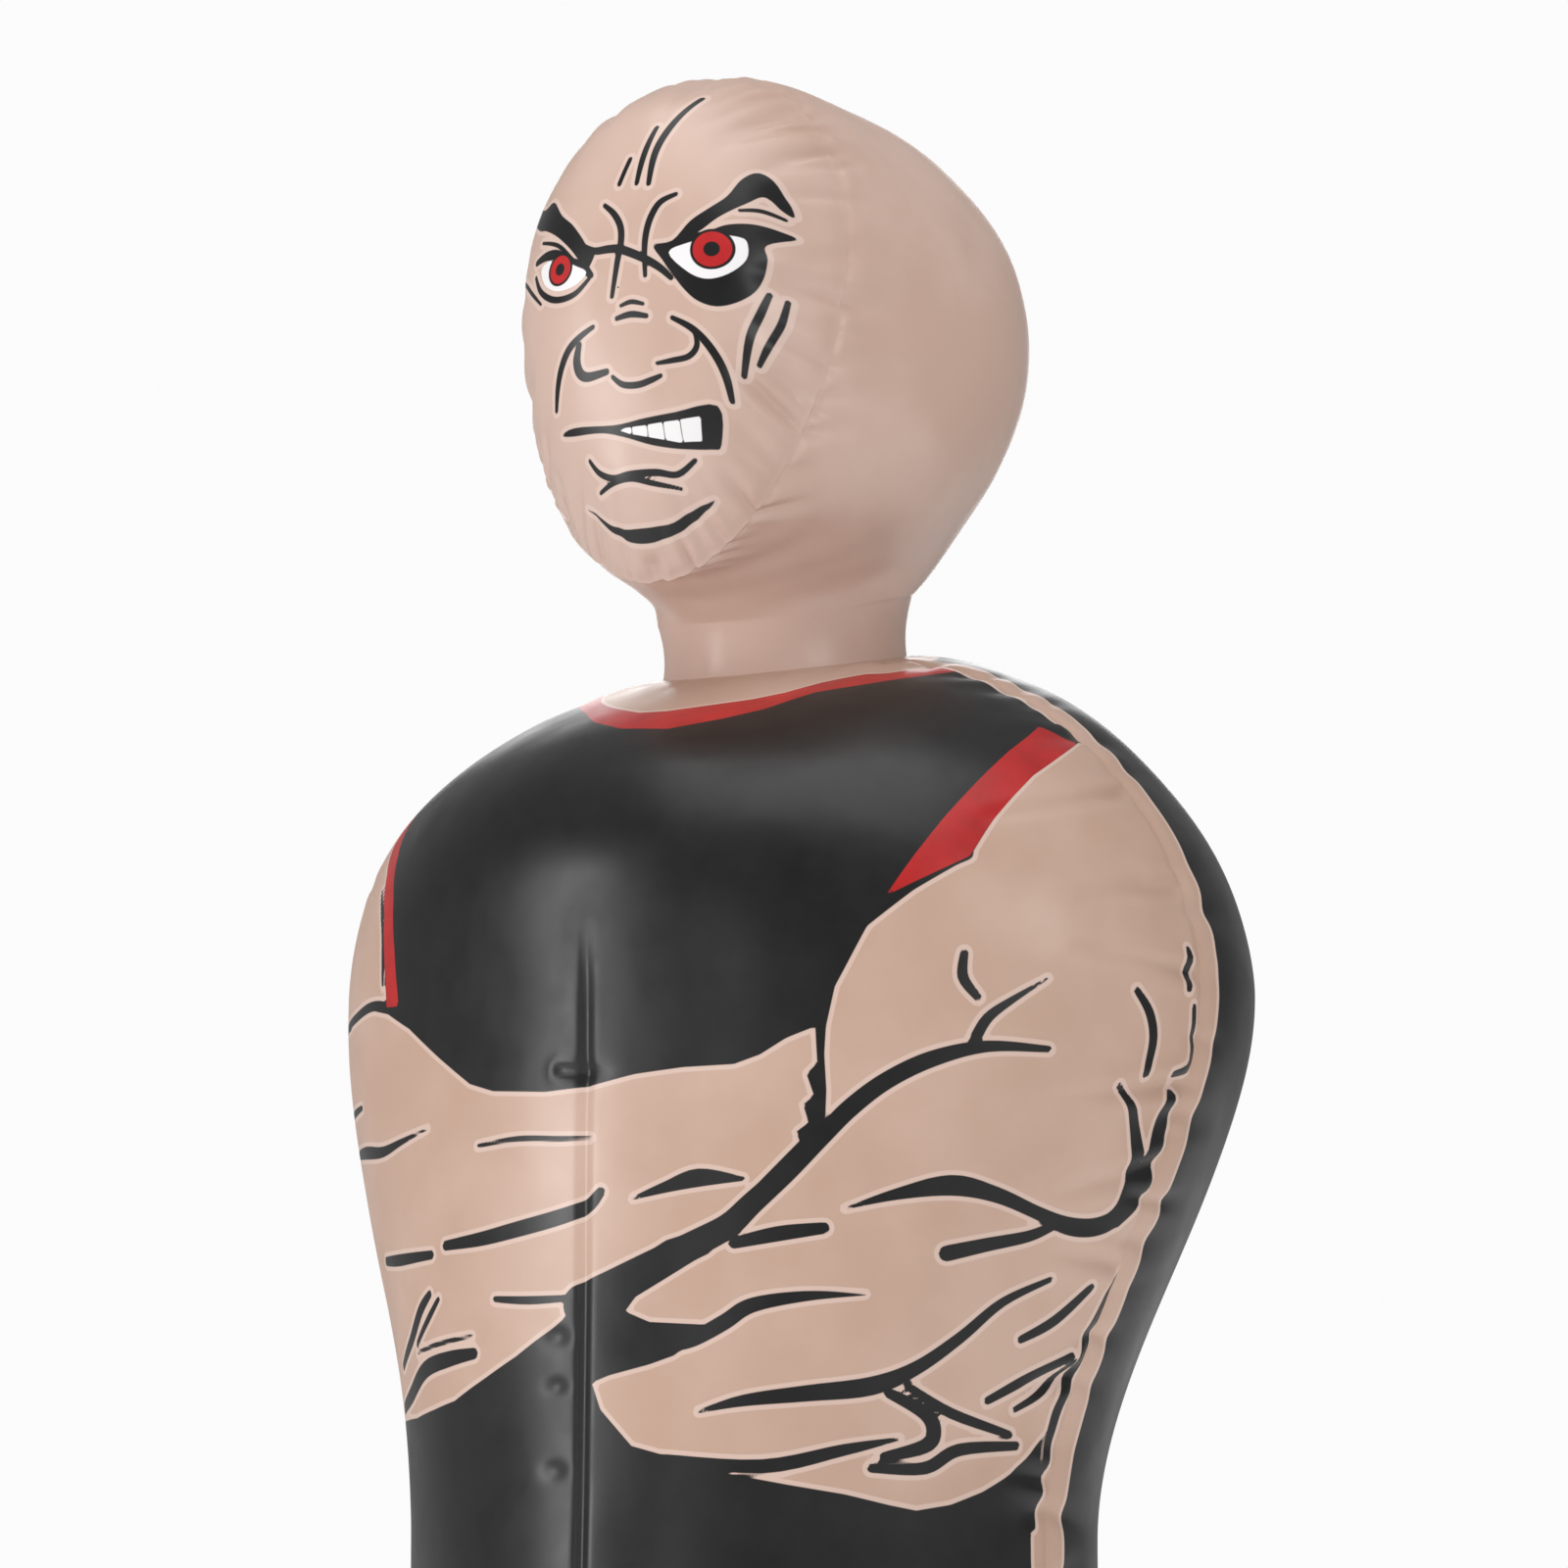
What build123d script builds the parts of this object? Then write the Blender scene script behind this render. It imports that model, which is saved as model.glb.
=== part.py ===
"""Free-standing inflatable opponent figure: welded PVC film over a water-ballasted base.

Frame: millimetres, +Z up, the figure faces -Y, and the origin is on the floor at the centre
of the base. The skin is lofted through level ovals up to the collar, and through planes that
fan about the throat from the neck round to the face.
"""

import os
from math import acos, cos, degrees, pi, radians, sin, sqrt

from build123d import *

# ---------------------------------------------------------------- film and welds
FILM = 0.6  # gauge of every skin panel
WELD_WIDTH = 7.0  # how far the turned-in edges of two welded panels reach inside
WELD_THICK = 1.2
FIT_GAP = 0.3  # clearance between pieces that only touch
WELD_GAP = 2.5  # clearance between a film and the turned-in weld drawn behind it
GLUE_LINE = 0.1  # between a valve's flange and the film that it is bonded to
SLIDE_GAP = 0.08  # radial clearance of a stem or stopper in its hole
CUT = 60.0  # how far a cutting tool runs past what it cuts

# ---------------------------------------------------------------- ballast base
FOOT_RADIUS = 150.0  # flat disc that stands on the floor
BASE_SEAM_Z = 66.0  # bottom panel meets side panel
BASE_SEAM_RADIUS = 228.0
BASE_BELLY_Z = 150.0
BASE_BELLY_RADIUS = 240.0
BASE_TOP_Z = 250.0  # side panel ends and the column film begins
BASE_TOP_RADIUS = 232.0
WATER_LEVEL_Z = 158.0
DIVIDER_RIM_Z = 232.0  # film that shuts the ballast chamber off from the air chamber
DIVIDER_SAG = 34.0
DIVIDER_HEM = 10.0

# ---------------------------------------------------------------- body
COLUMN_TOP_Z = 430.0  # column film ends and the torso panels begin
WAIST_Z = 725.0
WAIST_HALF_WIDTH = 207.0
WAIST_HALF_DEPTH = 172.0
WAIST_FORWARD = 36.0  # the waist's centre stands this far in front of the axis
CHEST_Z = 1038.0
CHEST_HALF_WIDTH = 286.0
CHEST_HALF_DEPTH = 214.0
CHEST_BACK = 9.0  # the chest's centre stands this far behind the axis
SHOULDER_WIDTH_POWERS = (1.82, 0.56)  # how the ovals shrink from the chest to the collar
SHOULDER_DEPTH_POWERS = (2.98, 0.8)
SEAM_TURN = 95.7  # the side seams, in degrees round each section from its back
COLLAR_Z = 1237.0  # centre of the neck opening
COLLAR_TILT = 11.0  # degrees that the neck opening drops at the front
NECK_RADIUS = 73.0
NECK_BACK = 1.0  # the neck stands this far behind the axis

# ---------------------------------------------------------------- head
THROAT_FORWARD = 143.0  # the head's section planes fan about this line
THROAT_Z = 1238.0
FACE_EGG = 0.12  # how much wider the forehead is than the jaw
FACE_BULGE = 67.0  # how far the face panel stands out of its seam's plane
FACE_BROW_SHARE = 0.33  # how much of the bulge moves from the jaw up to the brow
FACE_FULLNESS = 3.5  # power of the bulge's fall towards its seam
# each plane's angle above level, near and far reach from the throat line, half width
HEAD_PLANES = (
    (80.6, 30.0, 346.0, 110.0),
    (70.4, 35.0, 362.0, 123.0),
    (58.9, 42.0, 387.0, 136.0),
    (47.3, 52.0, 398.0, 142.0),
    (36.8, 57.0, 378.0, 131.0),
    (27.9, 63.0, 341.0, 109.0),
    (20.0, 67.0, 285.0, 86.0),
    (13.7, 71.0, 226.0, 77.0),
)

# ---------------------------------------------------------------- air valve, on the back of the waist
AIR_FLANGE_RADIUS = 22.0
AIR_FLANGE_THICK = 1.2
AIR_BOSS_LENGTH = 4.0
AIR_BOSS_WALL = 2.4
AIR_BORE_RADIUS = 6.5
AIR_STEM_WALL = 1.3
AIR_STEM_TRAVEL = 16.0  # the stem pushes in until its mouth meets the boss
AIR_PLUG_LENGTH = 11.0
AIR_FLAP_THICK = 0.8

# ---------------------------------------------------------------- water port, on the back of the base
PORT_Z = 198.0
PORT_FLANGE_RADIUS = 36.0
PORT_FLANGE_THICK = 1.6
PORT_BORE_RADIUS = 15.0
PORT_WALL = 2.6
PORT_NECK_LENGTH = 12.0

LIP_REACH = 2.6  # how far a mouth's lip and a plug's head stand out from the tube
LIP_THICK = 3.6
STRAP_THICK = 1.1
STRAP_WIDTH = 5.0


# ---------------------------------------------------------------- sections of the body
def mix(start, end, share):
    return start + (end - start) * share


def eased(share):
    """0 to 1 with level ends."""
    return share * share * (3 - 2 * share)


def base_radius(z):
    if z < BASE_BELLY_Z:
        share, drop = (BASE_BELLY_Z - z) / (BASE_BELLY_Z - BASE_SEAM_Z), BASE_BELLY_RADIUS - BASE_SEAM_RADIUS
    else:
        share, drop = (z - BASE_BELLY_Z) / (BASE_TOP_Z - BASE_BELLY_Z), BASE_BELLY_RADIUS - BASE_TOP_RADIUS
    return BASE_BELLY_RADIUS - drop * share**2


def body_oval(z):
    """Half width, half depth, centre y and tilt of the body at height z."""
    if z <= BASE_TOP_Z:
        return base_radius(z), base_radius(z), 0.0, 0.0
    if z <= WAIST_Z:
        share = eased((z - BASE_TOP_Z) / (WAIST_Z - BASE_TOP_Z))
        wide = mix(BASE_TOP_RADIUS, WAIST_HALF_WIDTH, share)
        deep = mix(BASE_TOP_RADIUS, WAIST_HALF_DEPTH, share)
        return wide, deep, -WAIST_FORWARD * share, 0.0
    if z <= CHEST_Z:
        share = eased((z - WAIST_Z) / (CHEST_Z - WAIST_Z))
        wide = mix(WAIST_HALF_WIDTH, CHEST_HALF_WIDTH, share)
        deep = mix(WAIST_HALF_DEPTH, CHEST_HALF_DEPTH, share)
        return wide, deep, mix(-WAIST_FORWARD, CHEST_BACK, share), 0.0
    share = min((z - CHEST_Z) / (COLLAR_Z - CHEST_Z), 1.0)
    rise, fall = SHOULDER_WIDTH_POWERS
    wide = mix(NECK_RADIUS, CHEST_HALF_WIDTH, (1 - share**rise) ** fall)
    rise, fall = SHOULDER_DEPTH_POWERS
    deep = mix(NECK_RADIUS, CHEST_HALF_DEPTH, (1 - share**rise) ** fall)
    return wide, deep, mix(CHEST_BACK, NECK_BACK, share), COLLAR_TILT * share**3


def tilted_plane(y, z, angle):
    """A plane through (0, y, z) whose own y axis points back and up by angle."""
    slope = radians(angle)
    return Plane(origin=(0, y, z), x_dir=(1, 0, 0), z_dir=(0, -sin(slope), cos(slope)))


def oval_point(plane, turn, half_length, half_width, centre=0.0, egg=0.0):
    """Point of an oval at turn degrees from its far end. A positive egg widens that end."""
    across = half_width * sin(radians(turn)) * (1 + egg * cos(radians(turn)))
    return plane.from_local_coords((across, centre + half_length * cos(radians(turn))))


def oval_face(plane, half_length, half_width, centre=0.0, egg=0.0):
    count = 32
    points = [oval_point(plane, 360 * i / count, half_length, half_width, centre, egg) for i in range(count)]
    return Face(Wire(Spline(points, periodic=True)))


def film_of(surface):
    """A skin panel, which lies inside its outer surface."""
    return thicken(surface, amount=-FILM)


def tube_film(sections):
    """Film of the side of a loft through the sections, open at both ends."""
    sides = [face for face in loft(sections).faces() if face.geom_type != GeomType.PLANE]
    return film_of(sides[0])


def body_point(z, turn):
    wide, deep, y, tilt = body_oval(z)
    return oval_point(tilted_plane(y, z, tilt), turn, deep, wide)


def film_normal(z, turn):
    """Outward direction of the body's film."""
    up = body_point(z + 0.5, turn) - body_point(z - 0.5, turn)
    around = body_point(z, turn + 0.5) - body_point(z, turn - 0.5)
    return around.cross(up).normalized() * -1


def body_patch(heights, first_turn, last_turn):
    """Part of the body's surface between two turns."""
    steps = 16
    rows = []
    for z in heights:
        points = [body_point(z, mix(first_turn, last_turn, i / steps)) for i in range(steps + 1)]
        rows.append(Wire([Edge.make_spline(points)]))
    return Shell.make_loft(rows).faces()[0]


def torso_heights():
    """Heights of the torso's sections, closer together where the shoulders turn in."""
    low, high = 12, 13
    heights = [mix(COLUMN_TOP_Z, CHEST_Z, i / low) for i in range(low)]
    return heights + [CHEST_Z + (COLLAR_Z - CHEST_Z) * sin(pi / 2 * i / high) for i in range(high + 1)]


def seam_ribbon(near, far):
    """Ribbon that stands inwards from the side seam, between two depths under the film."""
    edges = []
    for depth in (near, far):
        points = [body_point(z, SEAM_TURN) - film_normal(z, SEAM_TURN) * depth for z in torso_heights()[:-1]]
        edges.append(Wire([Edge.make_spline(points)]))
    return Shell.make_loft(edges, ruled=True).faces()[0]


# ---------------------------------------------------------------- sections of the head
def fan_plane(angle):
    return tilted_plane(-THROAT_FORWARD, THROAT_Z, angle)


def head_egg(angle):
    """The egg share of the head's oval, which fades out behind the face."""
    round_angle = 45.0
    return FACE_EGG * max(0.0, (angle - round_angle) / (HEAD_PLANES[0][0] - round_angle))


def head_section(angle, near, far, half_width, inset=0.0):
    half = (far - near) / 2
    return oval_face(fan_plane(angle), half - inset, half_width - inset, (near + far) / 2, head_egg(angle))


def neck_section(z, tilt):
    return oval_face(tilted_plane(NECK_BACK, z, tilt), NECK_RADIUS, NECK_RADIUS)


def head_patch(first_turn, last_turn):
    steps = 16
    rows = []
    for angle, near, far, half_width in HEAD_PLANES:
        row = []
        for i in range(steps + 1):
            turn = mix(first_turn, last_turn, i / steps)
            half = (far - near) / 2
            row.append(oval_point(fan_plane(angle), turn, half, half_width, near + half, head_egg(angle)))
        rows.append(row)
    return Face.make_surface_from_array_of_points(rows)


def face_surface():
    """Bulging sheet over the face's oval, run on past the seam's plane so that it can be cut there."""
    angle, near, far, half_width = HEAD_PLANES[0]
    plane = fan_plane(angle)
    centre, half = (near + far) / 2, (far - near) / 2
    steps = 16
    shares = [1.1 * (2 * i / steps - 1) for i in range(steps + 1)]
    grid = []
    for along in shares:
        row = []
        for across in shares:
            reach = sqrt(along**2 + across**2)
            height = FACE_BULGE * (1 - reach**FACE_FULLNESS) * (1 + FACE_BROW_SHARE * along)
            x = half_width * (1 + FACE_EGG * along) * across
            row.append(plane.from_local_coords((x, centre + half * along, height)))
        grid.append(row)
    return Face.make_surface_from_array_of_points(grid)


# ---------------------------------------------------------------- base
def bowl(inset):
    """What the bottom panel holds: a flat foot and an arc up to the base's seam."""
    run = BASE_SEAM_RADIUS - FOOT_RADIUS
    bend = (run**2 + BASE_SEAM_Z**2) / (2 * BASE_SEAM_Z)
    radius = bend - inset
    turn = acos((bend - BASE_SEAM_Z) / radius)

    def on_arc(angle):
        return (FOOT_RADIUS + radius * sin(angle), 0, bend - radius * cos(angle))

    outline = [
        Line((0, 0, inset), on_arc(0)),
        ThreePointArc(on_arc(0), on_arc(turn / 2), on_arc(turn)),
        Line(on_arc(turn), (0, 0, BASE_SEAM_Z)),
        Line((0, 0, BASE_SEAM_Z), (0, 0, inset)),
    ]
    return revolve(Face(Wire(outline)), Axis.Z)


def barrel(inset, low, high):
    """What the base's side panel holds between two heights."""
    steps = 8
    heights = [mix(low, high, i / steps) for i in range(steps + 1)]
    wall = [(base_radius(z) - inset, 0, z) for z in heights]
    corners = [wall[-1], (0, 0, high), (0, 0, low), wall[0]]
    outline = [Spline(wall)] + [Line(start, end) for start, end in zip(corners, corners[1:])]
    return revolve(Face(Wire(outline)), Axis.Z)


def ring(plane, outer, width, thick):
    return extrude(plane * (Circle(outer) - Circle(outer - width)), amount=thick)


def make_water(weld):
    inset = FILM + FIT_GAP
    return bowl(inset) + barrel(inset, BASE_SEAM_Z, WATER_LEVEL_Z) - weld


def make_divider():
    radius = base_radius(DIVIDER_RIM_Z + DIVIDER_HEM) - FILM - FIT_GAP
    sphere = (radius**2 + DIVIDER_SAG**2) / (2 * DIVIDER_SAG)
    centre = DIVIDER_RIM_Z - DIVIDER_SAG + sphere
    cap = Pos(0, 0, centre) * (Sphere(sphere) - Sphere(sphere - FILM))
    cap = split(cap, bisect_by=Plane.XY.offset(DIVIDER_RIM_Z), keep=Keep.BOTTOM)
    hem = ring(Plane.XY.offset(DIVIDER_RIM_Z), radius, FILM, DIVIDER_HEM)
    return cap + hem


# ---------------------------------------------------------------- valves
def rod(y, z, radius, length):
    """A cylinder that points backwards from y."""
    return extrude(Plane(origin=(0, y, z), x_dir=(1, 0, 0), z_dir=(0, 1, 0)) * Circle(radius), amount=length)


def tube(y, z, radius, bore, length):
    return rod(y, z, radius, length) - rod(y, z, bore, length)


def curved_flange(y, z, radius, thick):
    """A round flange on the body's back that follows the film that it is welded to."""
    heights = [z + 1.3 * radius * (i / 4 - 1) for i in range(9)]
    half_turn = degrees(1.3 * radius / y)
    patch = body_patch(heights, half_turn, -half_turn)
    return Pos(0, GLUE_LINE, 0) * thicken(patch, amount=thick) & rod(y - CUT, z, radius, 2 * CUT)


def make_strap(y, z, radius):
    """Living hinge arched over the joint between a mouth's lip, below y, and its plug's head."""
    arch = LIP_THICK / 2 + STRAP_THICK / 2
    plane = Plane(origin=(-STRAP_WIDTH / 2, y, z + radius), x_dir=(0, 1, 0), z_dir=(1, 0, 0))
    hoop = extrude(plane * (Circle(arch) - Circle(arch - STRAP_THICK)), amount=STRAP_WIDTH)
    return split(hoop, bisect_by=Plane.XY.offset(z + radius), keep=Keep.TOP)


def make_plug(y, z, radius, length, head_radius):
    """A stopper that reaches forwards from y, and a head behind it with a finger tab."""
    tab = Pos(0, y + 1.5 * LIP_THICK, z) * Box(STRAP_WIDTH, LIP_THICK, 1.4 * radius)
    return rod(y - length, z, radius, length) + rod(y, z, head_radius, LIP_THICK) + tab


def make_air_valve(wall):
    boss = wall + AIR_FLANGE_THICK + AIR_BOSS_LENGTH
    boss_radius = AIR_BORE_RADIUS + AIR_BOSS_WALL
    flange = curved_flange(wall, WAIST_Z, AIR_FLANGE_RADIUS, AIR_FLANGE_THICK)
    flange += rod(wall + AIR_FLANGE_THICK / 2, WAIST_Z, boss_radius, boss - wall - AIR_FLANGE_THICK / 2)
    flange -= rod(wall - CUT, WAIST_Z, AIR_BORE_RADIUS, 2 * CUT)

    stem_radius = AIR_BORE_RADIUS - SLIDE_GAP
    stem_bore = stem_radius - AIR_STEM_WALL
    inner = wall - FILM - FIT_GAP - LIP_THICK / 2
    mouth = boss + FIT_GAP + AIR_STEM_TRAVEL + LIP_THICK
    stem = tube(inner, WAIST_Z, stem_radius, stem_bore, mouth - inner)
    stem += tube(inner, WAIST_Z, stem_radius + LIP_REACH, stem_bore, LIP_THICK / 2)
    stem += tube(mouth - LIP_THICK, WAIST_Z, stem_radius + LIP_REACH, stem_bore, LIP_THICK)

    head_radius = stem_radius + LIP_REACH
    plug = make_plug(mouth, WAIST_Z, stem_bore - SLIDE_GAP, AIR_PLUG_LENGTH, head_radius)
    strap = make_strap(mouth, WAIST_Z, head_radius) - stem - plug
    flap_y = inner - FIT_GAP - AIR_FLAP_THICK
    flap = rod(flap_y, WAIST_Z, stem_radius + LIP_REACH / 2, AIR_FLAP_THICK)
    return {
        "air_valve_flange": flange,
        "air_valve_stem": stem,
        "air_valve_plug": plug,
        "air_plug_strap": strap,
        "air_valve_flap": flap,
    }


def make_water_port(wall):
    outer = PORT_BORE_RADIUS + PORT_WALL
    inner = wall - PORT_WALL
    mouth = wall + PORT_FLANGE_THICK + PORT_NECK_LENGTH
    port = curved_flange(wall, PORT_Z, PORT_FLANGE_RADIUS, PORT_FLANGE_THICK)
    port += rod(inner, PORT_Z, outer, mouth - inner)
    port += rod(mouth - LIP_THICK, PORT_Z, outer + LIP_REACH, LIP_THICK)
    port -= rod(inner, PORT_Z, PORT_BORE_RADIUS, mouth - inner)
    plug = make_plug(mouth, PORT_Z, PORT_BORE_RADIUS - SLIDE_GAP, mouth - inner, outer + LIP_REACH)
    strap = make_strap(mouth, PORT_Z, outer + LIP_REACH) - port - plug
    return {"water_port": port, "water_port_plug": plug, "water_plug_strap": strap}


# ---------------------------------------------------------------- body and head panels
def make_side_weld():
    """Turned-in edges of the torso panels, down the figure's left side."""
    return thicken(seam_ribbon(FILM + WELD_GAP, FILM + WELD_GAP + WELD_WIDTH), amount=WELD_THICK)


def make_base():
    port_wall = base_radius(PORT_Z)
    port_hole = rod(port_wall - CUT, PORT_Z, PORT_BORE_RADIUS + PORT_WALL, 2 * CUT)
    side = barrel(0.0, BASE_SEAM_Z, BASE_TOP_Z) - barrel(FILM, BASE_SEAM_Z, BASE_TOP_Z)
    weld = ring(Plane.XY.offset(BASE_SEAM_Z), BASE_SEAM_RADIUS - FILM - FIT_GAP, WELD_WIDTH, WELD_THICK)
    nodes = {
        "base_bottom_panel": bowl(0.0) - bowl(FILM),
        "base_side_panel": side - port_hole,
        "base_weld_ring": weld,
        "ballast_divider": make_divider(),
        "ballast_water": make_water(weld),
    }
    nodes.update(make_water_port(port_wall))
    return nodes


def make_torso():
    steps = 5
    heights = [mix(BASE_TOP_Z, COLUMN_TOP_Z - FIT_GAP, i / steps) for i in range(steps + 1)]
    ovals = [body_oval(z) for z in heights]
    column = [oval_face(tilted_plane(y, z, 0), deep, wide) for z, (wide, deep, y, _) in zip(heights, ovals)]
    waist_back = WAIST_HALF_DEPTH - WAIST_FORWARD
    air_hole = rod(waist_back - CUT, WAIST_Z, AIR_BORE_RADIUS + FIT_GAP, 2 * CUT)
    front = body_patch(torso_heights(), 360 - SEAM_TURN, SEAM_TURN)
    back = body_patch(torso_heights(), SEAM_TURN, -SEAM_TURN)
    side_weld = make_side_weld()
    nodes = {
        "column_film": tube_film(column),
        "torso_front_panel": film_of(front),
        "torso_back_panel": film_of(back) - air_hole,
        "side_weld_left": side_weld,
        "side_weld_right": mirror(side_weld, about=Plane.YZ),
    }
    nodes.update(make_air_valve(waist_back))
    return nodes


def make_head():
    neck_middle = COLLAR_Z + 18.0
    neck = [
        Pos(0, 0, -2 * FIT_GAP) * head_section(*HEAD_PLANES[-1]),
        neck_section(neck_middle, COLLAR_TILT + 1.0),
        neck_section(COLLAR_Z, COLLAR_TILT),
    ]
    face_plane = fan_plane(HEAD_PLANES[0][0])
    outer = head_section(*HEAD_PLANES[0], inset=FILM + WELD_GAP)
    inner = head_section(*HEAD_PLANES[0], inset=FILM + WELD_GAP + WELD_WIDTH)
    return {
        "face_panel": split(film_of(face_surface()), bisect_by=face_plane, keep=Keep.TOP),
        "head_shell_left": film_of(head_patch(0, 180)),
        "head_shell_right": film_of(head_patch(0, -180)),
        "neck_film": tube_film(neck),
        "face_weld_ring": extrude(outer - inner, amount=WELD_THICK, dir=-face_plane.z_dir),
    }


def main():
    os.makedirs("parts", exist_ok=True)
    nodes = {**make_base(), **make_torso(), **make_head()}
    for name, solid in nodes.items():
        export_step(solid, f"parts/{name}.step")


if __name__ == "__main__":
    main()
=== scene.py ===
"""Looks of the inflatable opponent figure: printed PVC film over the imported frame. Metres."""
import bpy
import numpy as np
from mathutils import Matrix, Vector


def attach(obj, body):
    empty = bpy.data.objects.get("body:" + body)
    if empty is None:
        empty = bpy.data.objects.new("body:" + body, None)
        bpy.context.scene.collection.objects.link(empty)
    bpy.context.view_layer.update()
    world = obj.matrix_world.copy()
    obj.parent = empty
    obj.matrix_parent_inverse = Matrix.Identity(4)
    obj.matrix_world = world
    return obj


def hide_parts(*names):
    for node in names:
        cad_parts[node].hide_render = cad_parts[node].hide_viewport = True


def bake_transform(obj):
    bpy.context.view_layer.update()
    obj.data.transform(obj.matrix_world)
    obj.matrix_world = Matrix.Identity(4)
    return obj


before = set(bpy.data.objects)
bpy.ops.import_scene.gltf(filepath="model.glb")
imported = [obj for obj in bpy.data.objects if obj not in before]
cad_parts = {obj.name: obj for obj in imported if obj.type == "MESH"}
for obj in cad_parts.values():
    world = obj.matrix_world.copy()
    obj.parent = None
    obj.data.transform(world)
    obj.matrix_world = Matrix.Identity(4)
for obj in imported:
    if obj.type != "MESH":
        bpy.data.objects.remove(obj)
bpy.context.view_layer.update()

MM = 0.001
NO_INK = -30.0  # mm outside every printed shape
SEAM_TURN = 95.7
COLLAR_Z, CHEST_Z, WAIST_Z, COLUMN_Z = 1237.0, 1038.0, 725.0, 430.0
BASE_SEAM_Z, BASE_BELLY_Z, BASE_TOP_Z, FOOT_RADIUS, BASE_SEAM_RADIUS = 66.0, 150.0, 250.0, 150.0, 228.0
PORT_Z = 198.0
THROAT_Y, THROAT_Z = -143.0, 1238.0
FACE_ANGLE, FACE_NEAR, FACE_FAR, FACE_HALF_WIDTH, FACE_HALF_HEIGHT = 80.6, 30.0, 346.0, 110.0, 158.0
FACE_EGG, FACE_BULGE, FACE_BROW_SHARE, FACE_FULLNESS = 0.12, 67.0, 0.33, 3.5
HEAD_MIDDLE = np.array([0.0, -55.0, 1410.0])
# fan angle, near reach, far reach and half width of the head's sections
HEAD_PLANES = np.array([
    (13.7, 71.0, 226.0, 77.0), (20.0, 67.0, 285.0, 86.0), (27.9, 63.0, 341.0, 109.0), (36.8, 57.0, 378.0, 131.0),
    (47.3, 52.0, 398.0, 142.0), (58.9, 42.0, 387.0, 136.0), (70.4, 35.0, 362.0, 123.0), (80.6, 30.0, 346.0, 110.0)])


# ---------------------------------------------------------------- shape, in mm
def mix(start, end, share):
    return start + (end - start) * share


def eased(share):
    share = np.clip(share, 0, 1)
    return share * share * (3 - 2 * share)


def body_points(z, turn):
    """Points of the body's skin; turn is in degrees from the back towards +X."""
    base = np.where(z < BASE_BELLY_Z, 240 - 12 * ((BASE_BELLY_Z - z) / (BASE_BELLY_Z - BASE_SEAM_Z)) ** 2,
                    240 - 8 * ((z - BASE_BELLY_Z) / (BASE_TOP_Z - BASE_BELLY_Z)) ** 2)
    low = eased((z - BASE_TOP_Z) / (WAIST_Z - BASE_TOP_Z))
    mid = eased((z - WAIST_Z) / (CHEST_Z - WAIST_Z))
    top = np.clip((z - CHEST_Z) / (COLLAR_Z - CHEST_Z), 0, 1)
    wide = np.where(z > CHEST_Z, mix(73, 286, (1 - top**1.82) ** 0.56), mix(mix(232, 207, low), 286, mid))
    deep = np.where(z > CHEST_Z, mix(73, 214, (1 - top**2.98) ** 0.8), mix(mix(232, 172, low), 214, mid))
    y = np.where(z > CHEST_Z, mix(9, 1, top), mix(mix(0, -36, low), 9, mid))
    wide, deep = np.where(z < BASE_TOP_Z, base, wide), np.where(z < BASE_TOP_Z, base, deep)
    along = deep * np.cos(np.radians(turn))
    tilt = np.radians(11 * top**3)
    return np.stack([wide * np.sin(np.radians(turn)), y + along * np.cos(tilt), z + along * np.sin(tilt)], -1)


def curve_through(knots, values, x):
    """Smooth curve through a few values."""
    slopes = np.gradient(values, knots)
    i = np.clip(np.searchsorted(knots, x) - 1, 0, len(knots) - 2)
    span = knots[i + 1] - knots[i]
    t = (x - knots[i]) / span
    return ((2 * t**3 - 3 * t**2 + 1) * values[i] + (t**3 - 2 * t**2 + t) * span * slopes[i]
            + (3 * t**2 - 2 * t**3) * values[i + 1] + (t**3 - t**2) * span * slopes[i + 1])


def head_points(angle, turn):
    """Points of the head's shell, on planes that fan about the throat."""
    near, far, wide = (curve_through(HEAD_PLANES[:, 0], HEAD_PLANES[:, i], angle) for i in (1, 2, 3))
    egg = FACE_EGG * np.clip((angle - 45) / (FACE_ANGLE - 45), 0, None)
    c, s, a = np.cos(np.radians(turn)), np.sin(np.radians(turn)), np.radians(angle)
    reach = (near + far) / 2 + (far - near) / 2 * c
    return np.stack([wide * s * (1 + egg * c), THROAT_Y + reach * np.cos(a), THROAT_Z + reach * np.sin(a)], -1)


def face_points(share, turn):
    """Points of the face panel, with their flat x and v: share is 0 at its middle and 1 at its seam."""
    along = share * np.cos(np.radians(turn))
    x = FACE_HALF_WIDTH * share * np.sin(np.radians(turn)) * (1 + FACE_EGG * along)
    bulge = FACE_BULGE * (1 - share**FACE_FULLNESS) * (1 + FACE_BROW_SHARE * along)
    reach = FACE_NEAR + FACE_HALF_HEIGHT * (1 + along)
    a = np.radians(FACE_ANGLE)
    y = THROAT_Y + reach * np.cos(a) - bulge * np.sin(a)
    z = THROAT_Z + reach * np.sin(a) + bulge * np.cos(a)
    return np.stack([x, y, z], -1), x, FACE_HALF_HEIGHT * along


def lengths(points, axis):
    """Running length of a grid's lines."""
    step = np.linalg.norm(np.diff(points, axis=axis), axis=-1)
    pad = [(0, 0), (0, 0)]
    pad[axis] = (1, 0)
    return np.pad(np.cumsum(step, axis=axis), pad)


def normals(points):
    """Outward normals of a grid whose rows go up and whose columns go round anticlockwise from above."""
    across, up = np.gradient(points, axis=1), np.gradient(points, axis=0)
    n = np.cross(across, up)
    return n / np.maximum(np.linalg.norm(n, axis=-1, keepdims=True), 1e-9)


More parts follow.
